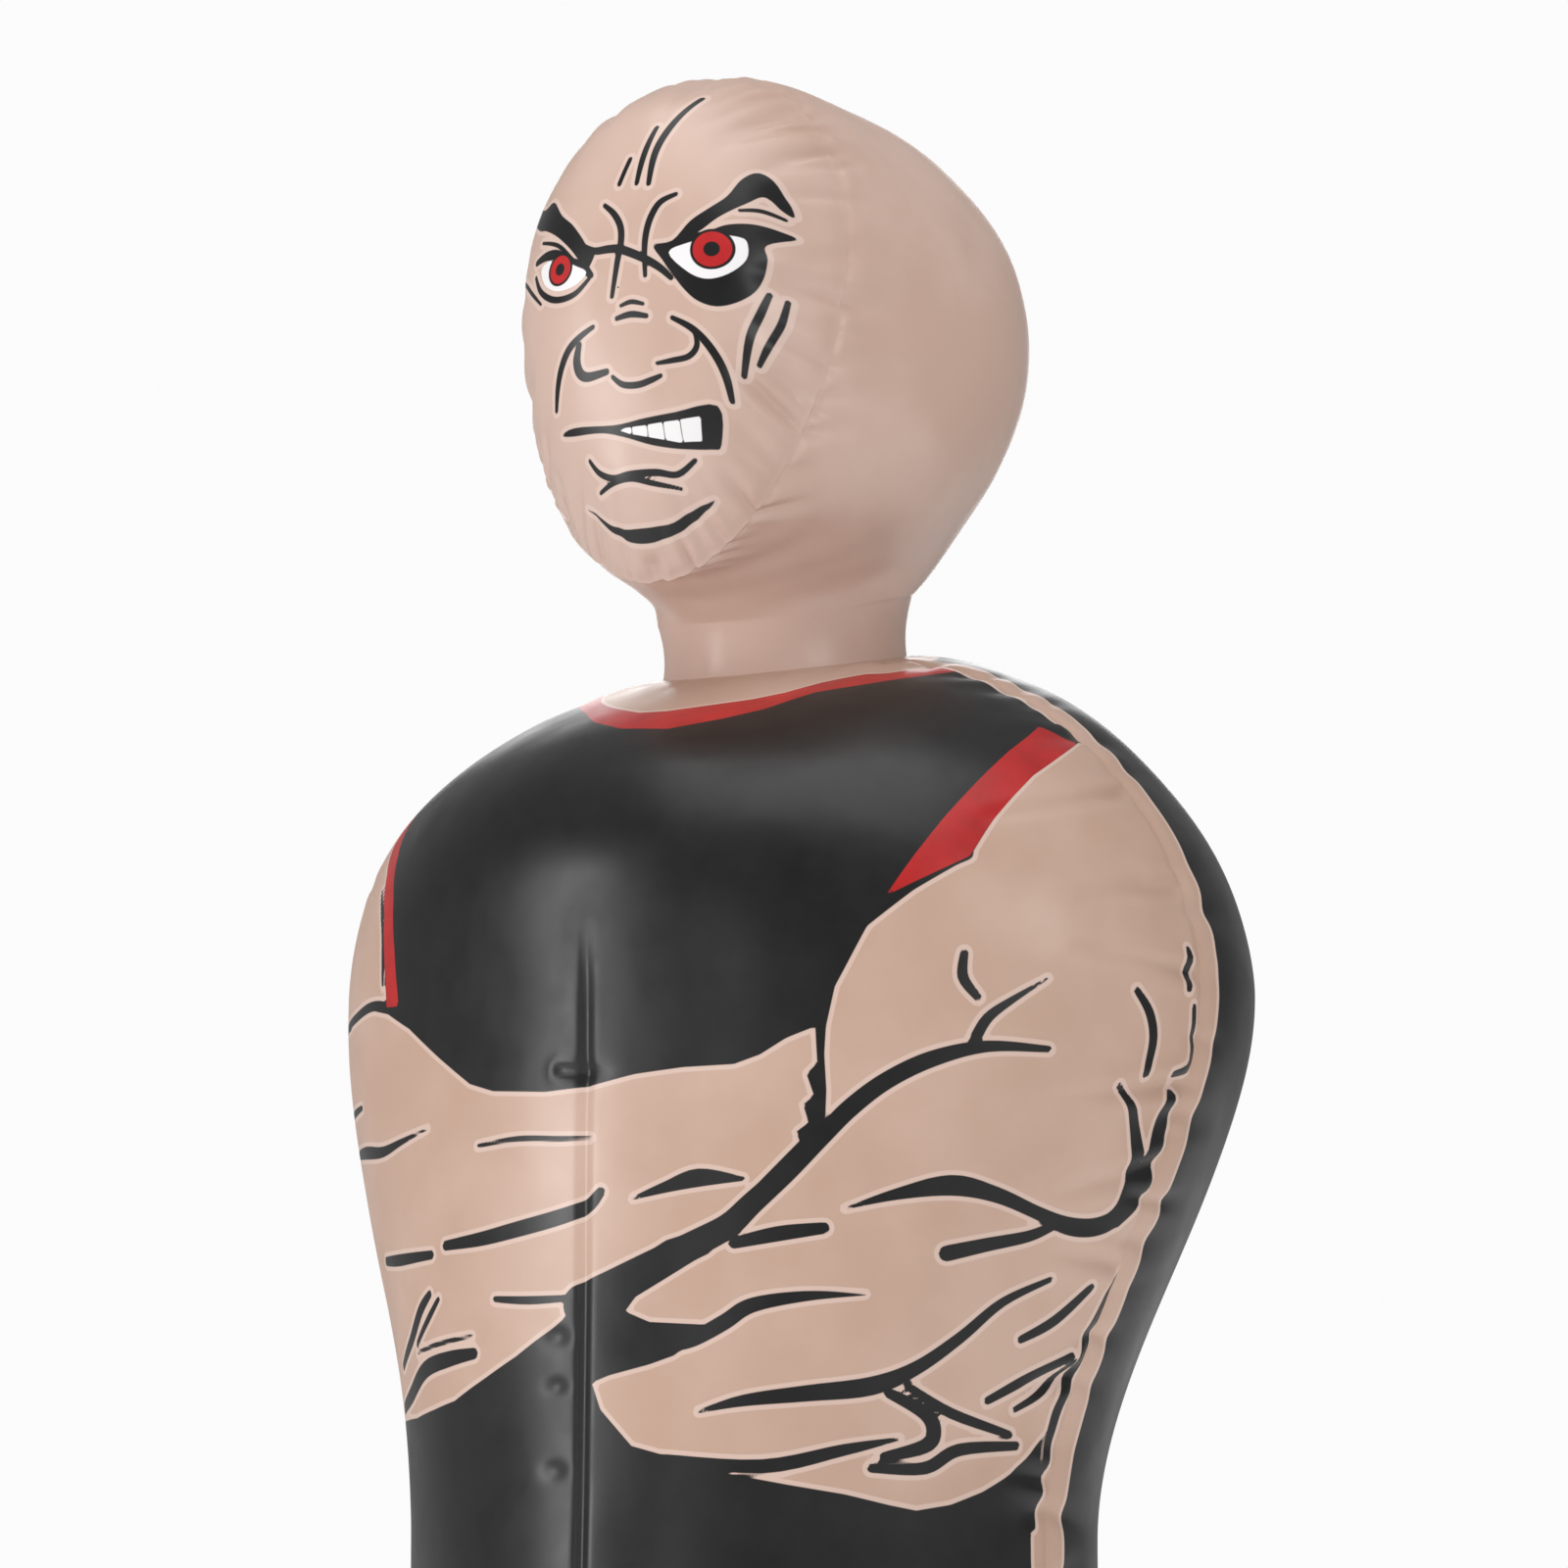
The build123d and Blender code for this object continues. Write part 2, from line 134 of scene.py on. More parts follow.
# ---------------------------------------------------------------- wrinkles, in mm
def waves(points, seed, pitch, height):
    """Soft unevenness of the film."""
    rng = np.random.default_rng(seed)
    total = np.zeros(points.shape[:-1])
    for _ in range(14):
        way = rng.normal(size=3)
        way *= 2 * np.pi / (pitch * rng.uniform(0.7, 1.6)) / np.linalg.norm(way)
        total += np.sin(points @ way + rng.uniform(0, 6.3))
    return total * height / 4


def puckers(s, d, length, seed, side, pitch=19.0, depth=3.4, reach=34.0, valley=1.6, end=1.6):
    """Radial wrinkles along a weld: s runs along it, d is the distance from it. Both sides share the weld's own line."""
    rng = np.random.default_rng(seed)
    own = np.random.default_rng(seed * 7 + side)
    valley_width = 4.0
    total = -valley * np.exp(-((d / valley_width) ** 2))
    at = 0.0
    while at < length:
        at += pitch * rng.uniform(0.45, 1.6)
        deep, wide = depth * rng.uniform(0.25, 1.0) ** 1.3, rng.uniform(2.6, 5.5)
        far, lean = reach * own.uniform(0.35, 1.5), own.uniform(-0.25, 0.25)
        away = (s - at - lean * d + length / 2) % length - length / 2
        fan = wide * (1 + d / far)
        total -= deep * np.exp(-((away / fan) ** 2)) * np.exp(-((d / far) ** end)) * (0.55 + 0.45 * np.minimum(d / 6, 1))
    return total


def fold(x, w, start, end, depth, wide):
    """A groove from start, where it is deepest, to end, where it runs out."""
    a, b = np.array(start, float), np.array(end, float)
    way = b - a
    t = np.clip(((x - a[0]) * way[0] + (w - a[1]) * way[1]) / (way @ way), 0, 1)
    gap = np.hypot(x - a[0] - t * way[0], w - a[1] - t * way[1])
    q = gap / wide
    return depth * (1 - t) ** 0.8 * (-np.exp(-q * q) + 0.35 * np.exp(-((q - 2.0) ** 2)))


# ---------------------------------------------------------------- printed artwork, in mm
def smooth_line(points, closed=False, steps=5):
    """Catmull-Rom curve; each point is (x, y, width)."""
    p = np.array(points, float)
    n = len(p)
    spans = n if closed else n - 1
    out = []
    for i in range(spans):
        a, b, c, d = (p[(i + k) % n] if closed else p[min(max(i + k, 0), n - 1)] for k in (-1, 0, 1, 2))
        for t in np.arange(steps) / steps:
            out.append(0.5 * (2 * b + (c - a) * t + (2 * a - 5 * b + 4 * c - d) * t**2 + (3 * b - a - 3 * c + d) * t**3))
    if not closed:
        out.append(p[-1])
    return np.array(out)


def segment_gap(x, y, a, b):
    way = b[:2] - a[:2]
    t = np.clip(((x - a[0]) * way[0] + (y - a[1]) * way[1]) / max(way @ way, 1e-9), 0, 1)
    return np.hypot(x - a[0] - t * way[0], y - a[1] - t * way[1]), t


def stroke(x, y, points, width=3.0, tip=0.35):
    """Signed distance into a brush stroke. Points may carry their own width; other strokes thin out at their ends."""
    n = len(points)
    rows = []
    for i, point in enumerate(points):
        taper = tip + (1 - tip) * np.sin(np.pi * (i + 0.35) / (n - 0.3)) ** 0.5 if n > 2 else 0.8
        rows.append(tuple(point) if len(point) == 3 else (*point, width * taper))
    line = smooth_line(rows)
    best = np.full(x.shape, NO_INK)
    for a, b in zip(line, line[1:]):
        gap, t = segment_gap(x, y, a, b)
        best = np.maximum(best, (a[2] + (b[2] - a[2]) * t) / 2 - gap)
    return best


def area(x, y, points, smooth=False):
    """Signed distance into a closed outline."""
    line = smooth_line([(*p, 0) for p in points], closed=True, steps=4) if smooth else np.array([(*p, 0) for p in points], float)
    gap = np.full(x.shape, 1e9)
    inside = np.zeros(x.shape, bool)
    for a, b in zip(line, np.roll(line, -1, axis=0)):
        gap = np.minimum(gap, segment_gap(x, y, a, b)[0])
        crosses = (a[1] > y) != (b[1] > y)
        inside ^= crosses & (x < a[0] + (y - a[1]) * (b[0] - a[0]) / (b[1] - a[1] if b[1] != a[1] else 1e-9))
    return np.clip(np.where(inside, gap, -gap), -30, 30)


def disc(x, y, middle, radius):
    return radius - np.hypot(x - middle[0], y - middle[1])


def union(fields):
    return np.maximum.reduce(list(fields))


FACE_STROKES = [  # points and width
    ([(30, 120), (22, 95), (18, 79), (17, 60)], 3.8), ([(14, 97), (11, 79), (9, 61)], 3.3), ([(2, 77), (-3, 62)], 3.2),
    ([(-12, 50), (-5, 44), (0, 36), (1, 27), (-1, 15), (-4, -5)], 3.6),
    ([(35, 52), (26, 48), (21, 41), (18, 32), (17, 21), (18, 5)], 3.6),
    ([(-25, 27), (-17, 23), (-7, 23), (1, 22), (15, 16), (27, 9), (35, 2)], 4.2),
    ([(-61, 37), (-45, 31), (-33, 21)], 2.2), ([(-65, 26), (-55, 27), (-45, 25), (-33, 18), (-25, 15), (-19, 9)], 5.4),
    ([(-65, 17), (-59, 7), (-49, 0), (-39, -2), (-29, 0), (-20, 7)], 3.2),
    ([(-113, 37), (-97, 27), (-81, 19), (-67, 7), (-58, -1)], 2.2),
    ([(70, 42.5), (79, 44), (89, 42)], 2.2),
    ([(2, -11), (9, -9.4), (17, -11.4)], 2.4), ([(-0.6, -18), (9, -16.6), (19.4, -18.6)], 3.2),
    ([(-17, -21), (-27, -26), (-35, -32), (-41, -41), (-45, -51), (-48, -63)], 3.7),
    ([(-27, -30), (-29, -39), (-27, -46), (-21, -49), (-8, -47.6)], 4.8),
    ([(36, -21), (47, -27), (55, -35), (61, -45), (64, -55), (65, -66)], 3.6),
    ([(49, -29), (50, -37), (45, -43), (35, -45), (26, -46)], 2.8),
    ([(-4, -51), (3, -56), (13, -57), (22, -55), (28, -53)], 3.2),
    ([(85, -5), (81, -17), (76, -31), (72, -52)], 3.2), ([(92, -7), (89, -21), (83, -35), (79, -45)], 2.7),
    ([(-25, -94), (-19, -101), (-9, -105), (3, -104), (19, -104), (31, -105.4), (42, -98)], 3.2),
    ([(-21, -111), (-9, -107), (3, -106), (15, -109), (31, -113)], 2.7),
]
FACE_AREAS = [
    [(-16, 23), (-21, 25), (-27, 33), (-35, 42), (-45, 50), (-56, 62), (-67, 61), (-80, 70), (-97, 86), (-104, 76), (-90, 66),
     (-78, 55), (-67, 47), (-59, 44), (-47, 37), (-35, 27), (-26, 17), (-21, 13)],
    [(23, 23), (35, 24), (45, 35), (55, 43), (63, 51), (68, 63), (74, 69), (81, 65), (89, 53), (92, 45), (87, 47), (82, 52),
     (78, 53), (72, 47), (60, 37), (50, 28), (35, 21)],
    [(23, 22), (29, 13), (35, 5), (43, -5), (51, -12), (61, -15), (71, -12), (79, -5), (83, 5), (84, 15), (83, 23), (94, 31),
     (88, 34), (77, 35), (65, 33), (56, 29), (45, 27), (35, 22)],
    [(-45, -77), (-35, -75), (-5, -77.6), (15, -75.6), (35, -73), (58, -69), (56.6, -89), (51, -92), (35, -92.4), (19, -90),
     (3, -85), (-13, -81), (-35, -79.4)],
    [(-36, -117), (-25, -124), (-13, -130), (3, -131), (19, -130), (33, -125), (47, -118), (35, -129), (19, -136),
     (3, -138.6), (-11, -136), (-25, -127)],
]
FACE_WHITES = [
    [(-59, 21), (-56, 11), (-48, 5), (-39, 3), (-29, 5), (-22, 11), (-30, 16), (-45, 23)],
    [(33, 17), (45, 5), (56, 0.6), (67, 4), (75, 13), (75, 23), (71, 26), (60, 26), (45, 22)],
    [(-3, -80), (15, -79.4), (35, -77.4), (48.6, -75), (47.4, -88), (35, -89), (19, -86), (5, -83)],
]
EYES = [((-42, 16), 9.8, 3.6, 8.2), ((58, 18), 12.0, 4.4, 10.4)]  # middle, black iris, pupil, red ring

FLESH_RIGHT = [
    (25, 854), (35, 867), (60, 879), (75, 886), (92, 903), (108, 922), (125, 938), (141, 955), (142, 977), (141, 997),
    (142, 1012), (147, 1034), (165, 1067), (190, 1087), (220, 1106), (232, 1132), (250, 1162), (265, 1177), (280, 1191),
    (300, 1200), (440, 1230), (440, 907), (350, 907), (335, 882), (320, 867), (307, 847), (300, 829), (290, 812), (282, 797),
    (277, 787), (250, 764), (230, 754), (210, 747), (190, 744), (175, 747), (150, 753), (120, 758), (87, 764), (80, 771),
    (50, 774), (30, 779), (20, 789), (10, 799), (4, 814), (15, 818), (40, 824), (55, 829), (66, 837), (78, 846), (40, 848)]
FLESH_LEFT = [
    (-440, 1030), (-280, 1027), (-250, 1027), (-235, 1032), (-200, 1036), (-175, 1032), (-150, 1022), (-120, 1004), (-90, 987),
    (-70, 982), (-30, 980), (0, 982), (30, 988), (60, 991), (90, 992), (105, 997), (120, 1006), (136, 1012), (137, 992),
    (131, 986), (135, 974), (129, 969), (132, 959), (125, 954), (127, 949), (120, 942), (100, 922), (85, 904), (50, 894),
    (30, 882), (10, 869), (-10, 864), (-10, 854), (-20, 847), (-50, 829), (-75, 817), (-105, 804), (-130, 799), (-160, 794),
    (-200, 792), (-280, 788), (-440, 786)]
FLESH_SHOULDER = [
    (-440, 1230), (-300, 1200), (-280, 1191), (-255, 1175), (-225, 1145), (-200, 1118), (-186, 1090), (-180, 1062),
    (-177, 1038), (-200, 1040), (-235, 1036), (-280, 1030), (-440, 1032)]
NECKLINE_TOP = [(-260, 1298), (-137, 1294), (-100, 1291), (-80, 1279), (-50, 1262), (-20, 1248), (0, 1247), (50, 1257),
                (65, 1264), (80, 1279), (100, 1291), (137, 1294), (260, 1298)]
NECKLINE_BOTTOM = [(260, 1280), (140, 1277), (120, 1272), (85, 1260), (65, 1239), (45, 1229), (15, 1219), (-20, 1224),
                   (-50, 1239), (-75, 1259), (-100, 1272), (-140, 1277), (-260, 1280)]
TRIMS = [
    [(245, 1204), (230, 1182), (212, 1147), (195, 1117), (175, 1084), (220, 1107), (232, 1132), (250, 1162), (265, 1177), (280, 1191)],
    [(-280, 1191), (-245, 1204), (-212, 1160), (-190, 1130), (-175, 1100), (-167, 1070), (-162, 1036), (-177, 1036),
     (-180, 1062), (-186, 1090), (-200, 1118), (-225, 1145), (-255, 1175)],
]
SIDE_LINE = [(350, 907, 6), (335, 882, 6), (320, 867, 5.5), (307, 847, 5.5), (300, 829, 5.5), (290, 812, 5.5), (282, 797, 5.5),
             (277, 777, 5), (272, 757, 5), (267, 735, 5)]
TORSO_STROKES = [  # points and width
    ([(182, 1089), (200, 1098), (220, 1107)], 3.4), ([(-200, 1107), (-185, 1080), (-182, 1050)], 3.2),
    ([(265, 1000, 3), (230, 1001, 5), (200, 994, 7), (175, 982, 7.5), (155, 967, 8), (140, 952, 8), (120, 932, 9), (100, 914, 10),
      (87, 902, 11), (70, 893, 12), (40, 878, 15), (15, 866, 17), (-4, 858, 18)], 8),
    ([(2, 855, 20), (14, 845, 16), (28, 838, 11), (45, 836, 9), (60, 837, 7.5), (70, 840, 7), (85, 848, 7), (100, 857, 6.5),
      (130, 862, 4.5), (162, 863, 1)], 7),
    ([(50, 772, 4), (105, 768, 6), (150, 777, 5), (180, 783, 1.5)], 6),
    ([(218, 1052), (217, 1039), (225, 1028)], 4.2), ([(265, 1039, 1), (245, 1027, 3), (231, 1017, 4.5), (224, 1006, 5)], 5),
    ([(320, 1034), (329, 1022), (332, 1007), (327, 988)], 4.4), ([(360, 1059), (362, 1047), (359, 1037)], 4),
    ([(365, 1027), (365, 997), (350, 989)], 4),
    ([(310, 981, 3), (320, 967, 5), (325, 947, 7), (325, 927, 8), (315, 909, 8), (300, 902, 8), (280, 902, 8), (260, 909, 6),
      (235, 919, 7), (210, 924, 9), (180, 919, 5), (152, 911, 1)], 7),
    ([(207, 886, 7), (230, 891, 6), (255, 896, 5), (270, 902, 4)], 6),
    ([(350, 977), (345, 962), (337, 942), (332, 922), (315, 905)], 7), ([(140, 900), (115, 897), (90, 892)], 6),
    ([(30, 918, 1.5), (50, 924, 5), (70, 929, 8), (95, 928, 2)], 6),
    ([(-112, 894), (-80, 897), (-50, 902), (-20, 908), (0, 914), (9, 922)], 6.5),
    ([(-82, 951), (-50, 954), (-20, 953), (2, 953)], 2.4),
    ([(-270, 953, 3), (-225, 953, 6), (-190, 952, 5), (-160, 957, 3), (-130, 963, 1)], 5), ([(-277, 977), (-250, 978), (-225, 980)], 3.2),
    ([(-200, 887), (-170, 887), (-127, 889)], 5), ([(-185, 824), (-160, 839), (-142, 857), (-130, 866)], 5),
    ([(-150, 837), (-132, 852), (-120, 863)], 3.2), ([(-150, 832), (-120, 837), (-87, 841)], 2.2),
    ([(-200, 799), (-170, 807), (-140, 822), (-110, 828), (-85, 831)], 7), ([(-67, 862), (-40, 861), (-10, 862)], 3.4),
    ([(70, 798, 1.5), (95, 804, 5), (130, 808, 7), (165, 812, 8), (190, 822, 6), (215, 839, 5), (240, 859, 4), (270, 872, 2.5)], 6),
    ([(175, 808), (195, 797), (200, 787), (195, 779), (172, 773)], 6), ([(185, 812), (210, 797), (247, 785)], 4.2),
    ([(165, 767), (195, 767), (215, 777), (252, 779)], 5), ([(252, 838), (275, 849), (300, 868)], 4.2),
    ([(232, 804), (260, 817), (290, 829)], 4.2), ([(250, 799), (270, 809), (292, 826)], 3.2),
    (SIDE_LINE, 5),
]


# ---------------------------------------------------------------- meshes
def grid_piece(name, points, closed=False, hole=None, **fields):
    """A film from a grid of points in mm, rows upwards and columns anticlockwise from above."""
    rows, cols = points.shape[:2]
    mesh = bpy.data.meshes.new(name)
    i = np.arange(rows - 1)[:, None] * cols
    j = np.arange(cols if closed else cols - 1)[None, :]
    k = (j + 1) % cols
    faces = np.stack([i + j, i + k, i + cols + k, i + cols + j], -1).reshape(-1, 4)
    if hole is not None:
        middles = points.reshape(-1, 3)[faces].mean(1)
        faces = faces[~((np.hypot(middles[:, 0], middles[:, 2] - hole[0]) < hole[1]) & (middles[:, 1] > 0))]
    mesh.from_pydata((points.reshape(-1, 3) * MM).tolist(), [], faces.tolist())
    for field, values in fields.items():
        mesh.attributes.new(field, "FLOAT", "POINT").data.foreach_set("value", values.reshape(-1).astype(np.float32))
    mesh.polygons.foreach_set("use_smooth", [True] * len(mesh.polygons))
    mesh.update()
    piece = bpy.data.objects.new(name, mesh)
    bpy.context.scene.collection.objects.link(piece)
    return piece


def torso_rows():
    low = np.linspace(BASE_TOP_Z, 660, 52)[:-1]
    waist = np.linspace(660, CHEST_Z, 150)[:-1]
    top = CHEST_Z + (COLLAR_Z - CHEST_Z) * np.sin(np.linspace(0, np.pi / 2, 112))
    return np.concatenate([low, waist, top])


def row_lengths(z):
    """Length up the film from the floor's level, which the artwork is drawn in."""
    line = body_points(z, np.full(z.shape, 137.8))[:, None, :]
    run = lengths(line, 0)[:, 0]
    return run - np.interp(650, z, run) + 650


def seam_wrinkles(w, d, panel, side):
    lift = puckers(w, d, 1400.0, 5 + side, panel, pitch=26, depth=3.8, reach=28, valley=2.2)
    return lift * eased((w - 200) / 120)


def make_torso_front():
    z = torso_rows()
    w = row_lengths(z)[:, None]
    turn = np.linspace(SEAM_TURN, 360 - SEAM_TURN, 291)[None, ::-1]
    points = body_points(z[:, None] + 0 * turn, turn + 0 * z[:, None])
    arc = lengths(points, 1)
    x = arc - arc[:, 145:146]
    w = w + 0 * x
    n = normals(points)
    right, left = arc[:, -1:] - arc, arc
    seam_part = seam_wrinkles(w, right, 1, 0) + seam_wrinkles(w, left, 1, 1)
    collar = w[-1, 0] - w
    seam_part = seam_part * eased(collar / 12)
    lift = seam_part + puckers(x + 110, collar, 700, 21, 1, pitch=22, depth=2.6, reach=24, valley=1.5) * eased(collar / 5)
    quiet = eased(np.minimum(right, left) / 40) * eased(collar / 40)
    lift += waves(points, 3, 130, 0.8) * quiet
    lift += -1.8 * np.exp(-(((x + 2) / 3.2) ** 2)) * eased((1085 - w) / 60) * eased((w - 500) / 100)
    edge = x[:, -1:] * np.ones_like(x)
    for at, reach, drop in ((1155, 105, 25), (1095, 80, 8), (1045, 95, -12), (985, 110, 14), (940, 85, 22), (880, 60, -8),
                            (820, 48, 10), (760, 42, -6), (700, 50, 8), (640, 46, -8), (580, 50, 5)):
        side = float(np.interp(at, w[:, 0], edge[:, 0]))
        lift += fold(x, w, (side - 1, at), (side - reach, at - drop), 3.6, 4.6)
        lift += fold(x, w, (-side + 1, at - 17), (-side + 0.8 * reach, at - 17 - drop), 3.2, 4.6)
    lift = seam_part + (lift - seam_part) * eased(np.minimum(right, left) / 9)
    for at, deep, wide in (((-20, 840), 1.6, 9), ((-20, 812), 1.4, 7), ((-21, 765), 1.3, 8), ((-2, 990), 1.4, 12)):
        lift -= deep * np.exp(-(((x - at[0]) / wide) ** 2 + ((w - at[1]) / (wide * 0.6)) ** 2))
    lift += fold(x, w, (-20, 992), (15, 988), 1.2, 3)
    shown = points + n * (lift * eased((z - BASE_TOP_Z) / 60)[:, None])[..., None]

    flesh = union([area(x, w, FLESH_RIGHT), area(x, w, FLESH_LEFT), area(x, w, FLESH_SHOULDER)])
    side_strip = [(x_, y_) for x_, y_, _ in SIDE_LINE] + [(267, 720), (460, 720), (460, 907)]
    strip = np.where(w < 790, 16 - np.minimum(right, left), -30)
    flesh = union([flesh, area(x, w, side_strip), strip])
    neck = area(x, w, NECKLINE_TOP + [(260, 1360), (-260, 1360)])
    flesh = union([flesh, neck])
    margin = 10 - np.minimum(right, left)
    flesh = np.maximum(flesh, np.where(w > 1205, margin, -30))
    red = union([area(x, w, outline) for outline in TRIMS] + [area(x, w, NECKLINE_TOP + NECKLINE_BOTTOM)])
    red = np.minimum(red, -margin)
    lines = union([
        stroke(x, w, [(*p[:2], *(1.3 * q for q in p[2:])) for p in line], width * 1.45)
        for line, width in TORSO_STROKES
    ])
    lines = np.maximum(lines, stroke(x, w, [(-280, 1027), (-235, 1033), (-200, 1038), (-175, 1036), (-155, 1028)], 6))
    side_edge = np.minimum(2.5 - np.abs(right - 18), 770 - w)
    lines = np.maximum(lines, np.where(w < 770, side_edge, NO_INK))
    black = np.maximum(lines, -flesh)
    return grid_piece("torso_front_film", shown, black=black, red=red, white=np.full(x.shape, NO_INK))


def make_torso_back():
    z = torso_rows()
    w = row_lengths(z)[:, None]
    turn = np.linspace(SEAM_TURN, -SEAM_TURN, 271)[None, :]
    points = body_points(z[:, None] + 0 * turn, turn + 0 * z[:, None])
    arc = lengths(points, 1)
    x = arc - arc[:, 135:136]
    w = w + 0 * x
    n = normals(points)
    # arc starts at the figure's left (+X), which the front panel calls its right
    lift = seam_wrinkles(w, arc, 2, 0) + seam_wrinkles(w, arc[:, -1:] - arc, 2, 1)
    collar = w[-1, 0] - w
    lift *= eased(collar / 12)
    edge = np.minimum(arc, arc[:, -1:] - arc)
    lift += puckers(x + 460, collar, 700, 21, 2, pitch=22, depth=2.6, reach=24, valley=1.5) * eased(collar / 5) * eased(edge / 9)
    quiet = eased(np.minimum(arc, arc[:, -1:] - arc) / 40) * eased(collar / 40)
    lift += waves(points, 4, 140, 0.9) * quiet
    near_valve = eased((np.hypot(x, points[..., 2] - WAIST_Z) - 30) / 40)
    shown = points + n * (lift * near_valve * eased((z - BASE_TOP_Z) / 60)[:, None])[..., None]
    strip = 16 - np.minimum(arc, arc[:, -1:] - arc)
    strip = np.maximum(strip, 18 - collar)
    return grid_piece("torso_back_film", shown, hole=(WAIST_Z, 9.0), black=-strip,
                      red=np.full(x.shape, NO_INK), white=np.full(x.shape, NO_INK))


def face_weld(turn):
    """Place along the face's weld and its full length."""
    return (turn % 360) / 360 * 880, 880.0


def make_face():
    share = np.concatenate([np.linspace(0.004, 0.8, 76), 1 - 0.2 * (1 - np.linspace(0.03, 1, 40)) ** 1.1])
    turn = -np.linspace(0, 360, 600, endpoint=False)
    share, turn = share[::-1, None], turn[None, :]
    points, x, v = face_points(share + 0 * turn, turn + 0 * share)
    d = (1 - share) * 128 + 0 * turn
    s, full = face_weld(turn + 0 * share)
    lift = puckers(s, d, full, 11, 1, pitch=13, depth=5.2, reach=23, valley=1.8, end=3.0)
    lift += waves(points, 9, 90, 0.7) * eased(d / 40)
    out = points - HEAD_MIDDLE
    out /= np.linalg.norm(out, axis=-1, keepdims=True)
    shown = points + out * lift[..., None]
    black = union([stroke(x, v, line, width * 1.25) for line, width in FACE_STROKES]
                  + [area(x, v, outline, smooth=True) for outline in FACE_AREAS])
    white = union([area(x, v, outline, smooth=i < 2) for i, outline in enumerate(FACE_WHITES)])
    iris_ring = np.full(x.shape, NO_INK)
    for middle, iris, pupil, ring in EYES:
        white = np.minimum(white, -disc(x, v, middle, iris))
        ring_field = np.minimum(disc(x, v, middle, ring), -disc(x, v, middle, pupil))
        iris_ring = np.maximum(iris_ring, ring_field)
        black = np.maximum(black, disc(x, v, middle, iris))
    tooth_gaps = union([stroke(x, v, [(a, -74), (a + 0.4, -91)], 0.7, 1.0) for a in (7, 17, 27, 37)])
    white = np.minimum(white, -tooth_gaps)
    black_flat = np.minimum(black, -white)
    return grid_piece("face_film", shown, closed=True, black=np.where(white > 0, black, black_flat), red=iris_ring, white=white)


def make_head():
    turn = np.linspace(0, 360, 600, endpoint=False)[None, :]
    turn = -turn
    angle = np.concatenate([[FACE_ANGLE], FACE_ANGLE - 0.35 * np.arange(1, 40), np.linspace(FACE_ANGLE - 14.5, 13.7, 92)])[:, None]
    shell = head_points(angle + 0 * turn, turn + 0 * angle)
    seam_gap = lengths(shell, 0)
    s, full = face_weld(turn + 0 * angle)
    lift = puckers(s, seam_gap, full, 11, 2, pitch=13, depth=5.2, reach=19, valley=1.8)
    lift += waves(shell, 12, 110, 0.7) * eased(seam_gap / 40)
    # middle line of the head's back, a flattened heat weld
    centre_line = np.exp(-((shell[..., 0] / 3.0) ** 2)) * eased((shell[..., 2] - 1290) / 40) * (shell[..., 1] > -20)
    lift -= 0.8 * centre_line
    out = shell - HEAD_MIDDLE
    out /= np.linalg.norm(out, axis=-1, keepdims=True)
    shell = shell + out * lift[..., None]
    low = head_points(np.full_like(turn, 13.7), turn)
    t = np.linspace(0, 1, 30)[1:, None, None]
    c, sn = np.cos(np.radians(turn)), np.sin(np.radians(turn))

    def circle(z, tilt):
        a = np.radians(tilt)
        return np.stack([73 * sn, 1 + 73 * c * np.cos(a), z + 73 * c * np.sin(a)], -1)
    middle, end = circle(1255, 12), circle(COLLAR_Z, 11)
    neck = low * (1 - t) * (1 - 2 * t) + middle * 4 * t * (1 - t) + end * t * (2 * t - 1)
    height = (neck[..., 2] - end[..., 2]) + 0 * turn
    ring = puckers(73 * np.radians(-turn) + 0 * height, height, 2 * np.pi * 73, 33, 1, pitch=16, depth=1.8, reach=12, valley=0)
    fade = np.clip(1 - t[..., 0], 0, 1) ** 0.5
    away = neck - np.array([0, 1, 0]) * 1.0
    away[..., 2] = 0
    away /= np.linalg.norm(away, axis=-1, keepdims=True)
    neck = neck + away * (ring * fade * (t[..., 0] > 0.15))[..., None]
    points = np.concatenate([shell, neck], 0)[::-1]
    ink = np.full(points.shape[:2], NO_INK)
    return grid_piece("head_film", points[:, ::-1], closed=True, black=ink, red=ink, white=ink)


